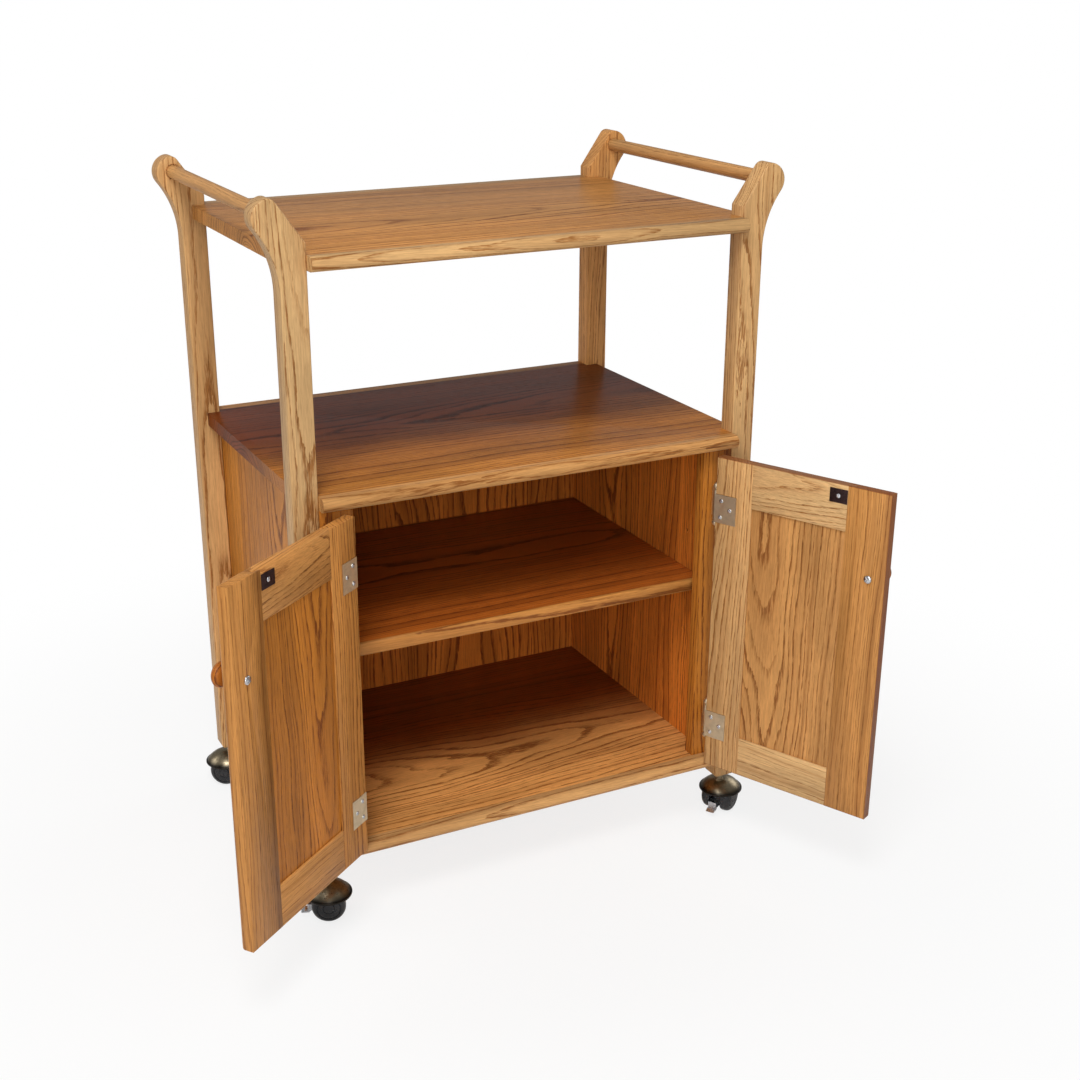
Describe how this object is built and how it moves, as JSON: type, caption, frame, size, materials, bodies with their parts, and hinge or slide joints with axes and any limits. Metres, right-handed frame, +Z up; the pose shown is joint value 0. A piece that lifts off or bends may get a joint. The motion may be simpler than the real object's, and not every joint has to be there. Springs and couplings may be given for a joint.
{
  "type": "microwave cart",
  "caption": "Wooden rolling kitchen cart: open bay over a two-door cabinet with an inner shelf, scrolled posts joined by handle dowels, hooded twin-wheel casters.",
  "frame": {"origin": "on the floor, under the middle of the whole cart with its doors standing open as shown", "axes": "+X to the right seen from the front, +Y from the front to the back, +Z up"},
  "size_m": [0.921, 0.7588, 0.9992],
  "materials": {
    "oak": "honey-stained oak with open brown grain under satin lacquer",
    "oak_boards": "redder oak with cathedral grain under semi-gloss lacquer",
    "back_oak": "dark-stained oak-faced panel",
    "knob_wood": "turned, reddish-brown stained",
    "antique_brass": "antique brass, darkened in the recesses",
    "dark_bronze": "dark bronze, satin",
    "steel": "bright zinc plate",
    "wheel_black": "black moulded plastic, slightly glossy"
  },
  "bodies": {
    "cart": {"post_front_left": "oak", "post_front_right": "oak", "post_rear_left": "oak", "post_rear_right": "oak", "top_shelf": "oak_boards", "deck": "oak_boards", "bottom_board": "oak_boards", "side_panel_left": "oak", "side_panel_right": "oak", "back_panel": "back_oak", "face_stile_left": "oak", "face_stile_right": "oak", "inner_shelf": "oak", "shelf_pegs": "steel", "handle_dowel_left": "oak", "handle_dowel_right": "oak", "frame_hinge_leaves": "antique_brass", "hinge_pins": "antique_brass", "caster_sockets": "steel"},
    "left_door": {"left_door_hinge_stile": "oak", "left_door_lock_stile": "oak", "left_door_top_rail": "oak", "left_door_bottom_rail": "oak", "left_door_panel": "oak", "left_door_knob": "knob_wood", "left_door_knob_screw": "antique_brass", "left_door_catch_plate": "dark_bronze", "left_door_hinge_leaves": "antique_brass"},
    "right_door": {"right_door_hinge_stile": "oak", "right_door_lock_stile": "oak", "right_door_top_rail": "oak", "right_door_bottom_rail": "oak", "right_door_panel": "oak", "right_door_knob": "knob_wood", "right_door_knob_screw": "antique_brass", "right_door_catch_plate": "dark_bronze", "right_door_hinge_leaves": "antique_brass"},
    "caster_fl": {"caster_fl_stem": "steel", "caster_fl_hood": "antique_brass", "caster_fl_bracket": "steel"},
    "caster_fl_wheel_a": {"caster_fl_wheel_a": "wheel_black"},
    "caster_fl_wheel_b": {"caster_fl_wheel_b": "wheel_black"},
    "caster_fr": {"caster_fr_stem": "steel", "caster_fr_hood": "antique_brass", "caster_fr_bracket": "steel"},
    "caster_fr_wheel_a": {"caster_fr_wheel_a": "wheel_black"},
    "caster_fr_wheel_b": {"caster_fr_wheel_b": "wheel_black"},
    "caster_rl": {"caster_rl_stem": "steel", "caster_rl_hood": "antique_brass", "caster_rl_bracket": "steel"},
    "caster_rl_wheel_a": {"caster_rl_wheel_a": "wheel_black"},
    "caster_rl_wheel_b": {"caster_rl_wheel_b": "wheel_black"},
    "caster_rr": {"caster_rr_stem": "steel", "caster_rr_hood": "antique_brass", "caster_rr_bracket": "steel"},
    "caster_rr_wheel_a": {"caster_rr_wheel_a": "wheel_black"},
    "caster_rr_wheel_b": {"caster_rr_wheel_b": "wheel_black"}
  },
  "joints": [
    {"name": "left_door_hinge", "type": "hinge", "parent": "cart", "child": "left_door", "pos_m": [-0.2331, -0.12261, 0.36125], "axis": [0, 0, 1], "range_deg": [-37, 143]},
    {"name": "right_door_hinge", "type": "hinge", "parent": "cart", "child": "right_door", "pos_m": [0.3242, -0.12261, 0.36125], "axis": [0, 0, 1], "range_deg": [-115, 65]},
    {"name": "caster_fl_swivel", "type": "hinge", "parent": "cart", "child": "caster_fl", "pos_m": [-0.2831, -0.09161, 0.067], "axis": [0, 0, 1], "continuous": true},
    {"name": "caster_fl_wheel_a_spin", "type": "hinge", "parent": "caster_fl", "child": "caster_fl_wheel_a", "pos_m": [-0.27558, -0.09434, 0.024], "axis": [0.342, 0.9397, 0], "continuous": true},
    {"name": "caster_fl_wheel_b_spin", "type": "hinge", "parent": "caster_fl", "child": "caster_fl_wheel_b", "pos_m": [-0.27558, -0.09434, 0.024], "axis": [0.342, 0.9397, 0], "continuous": true},
    {"name": "caster_fr_swivel", "type": "hinge", "parent": "cart", "child": "caster_fr", "pos_m": [0.3742, -0.09161, 0.067], "axis": [0, 0, 1], "continuous": true},
    {"name": "caster_fr_wheel_a_spin", "type": "hinge", "parent": "caster_fr", "child": "caster_fr_wheel_a", "pos_m": [0.38091, -0.08725, 0.024], "axis": [-0.5446, 0.8387, 0], "continuous": true},
    {"name": "caster_fr_wheel_b_spin", "type": "hinge", "parent": "caster_fr", "child": "caster_fr_wheel_b", "pos_m": [0.38091, -0.08725, 0.024], "axis": [-0.5446, 0.8387, 0], "continuous": true},
    {"name": "caster_rl_swivel", "type": "hinge", "parent": "cart", "child": "caster_rl", "pos_m": [-0.2831, 0.34189, 0.067], "axis": [0, 0, 1], "continuous": true},
    {"name": "caster_rl_wheel_a_spin", "type": "hinge", "parent": "caster_rl", "child": "caster_rl_wheel_a", "pos_m": [-0.29003, 0.34589, 0.024], "axis": [-0.5, -0.866, 0], "continuous": true},
    {"name": "caster_rl_wheel_b_spin", "type": "hinge", "parent": "caster_rl", "child": "caster_rl_wheel_b", "pos_m": [-0.29003, 0.34589, 0.024], "axis": [-0.5, -0.866, 0], "continuous": true},
    {"name": "caster_rr_swivel", "type": "hinge", "parent": "cart", "child": "caster_rr", "pos_m": [0.3742, 0.34189, 0.067], "axis": [0, 0, 1], "continuous": true},
    {"name": "caster_rr_wheel_a_spin", "type": "hinge", "parent": "caster_rr", "child": "caster_rr_wheel_a", "pos_m": [0.38172, 0.34463, 0.024], "axis": [-0.342, 0.9397, 0], "continuous": true},
    {"name": "caster_rr_wheel_b_spin", "type": "hinge", "parent": "caster_rr", "child": "caster_rr_wheel_b", "pos_m": [0.38172, 0.34463, 0.024], "axis": [-0.342, 0.9397, 0], "continuous": true}
  ]
}
